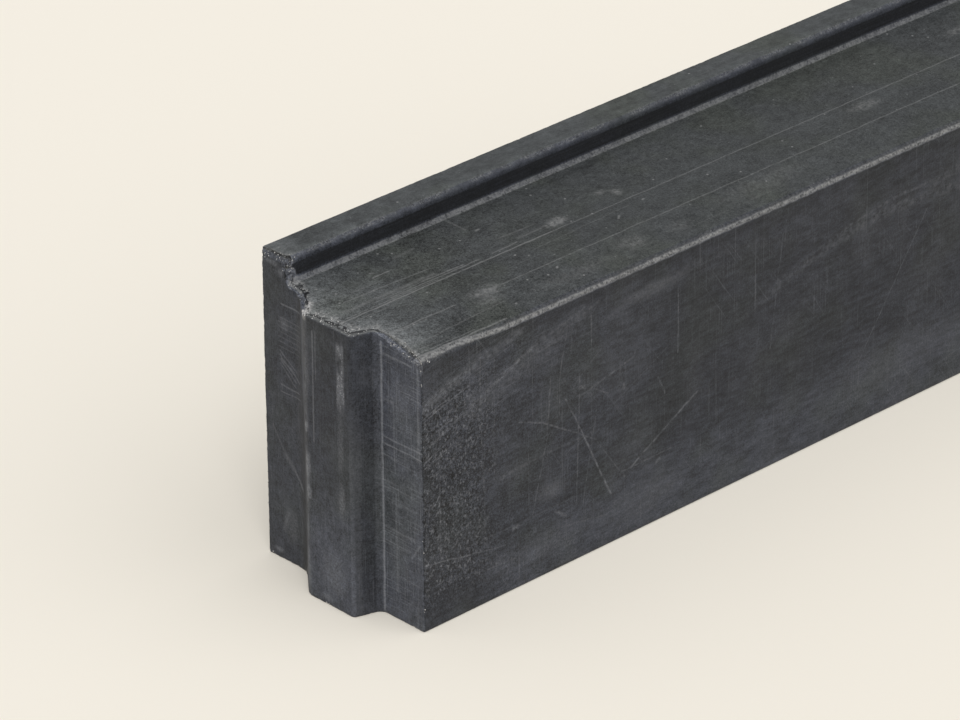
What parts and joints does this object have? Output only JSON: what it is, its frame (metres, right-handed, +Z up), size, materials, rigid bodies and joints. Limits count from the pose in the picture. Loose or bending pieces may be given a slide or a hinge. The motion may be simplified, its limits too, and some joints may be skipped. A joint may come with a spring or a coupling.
{
  "type": "concrete kerb stone",
  "caption": "Precast concrete kerb stone with a raised back strip, a bevelled front margin and tongue and groove ends.",
  "frame": {"origin": "middle of the bed, half way between the two joint faces and half way between front and back", "axes": "+X along the kerb from the tongue end to the groove end, +Y from the front face to the back face, +Z up from the bed"},
  "size_m": [1.026, 0.2, 0.3],
  "materials": {
    "concrete": "cast, fair faced, matt to satin, with broken arrises and scuffs"
  },
  "bodies": {
    "root": {"kerb_stone": "concrete"}
  },
  "joints": []
}
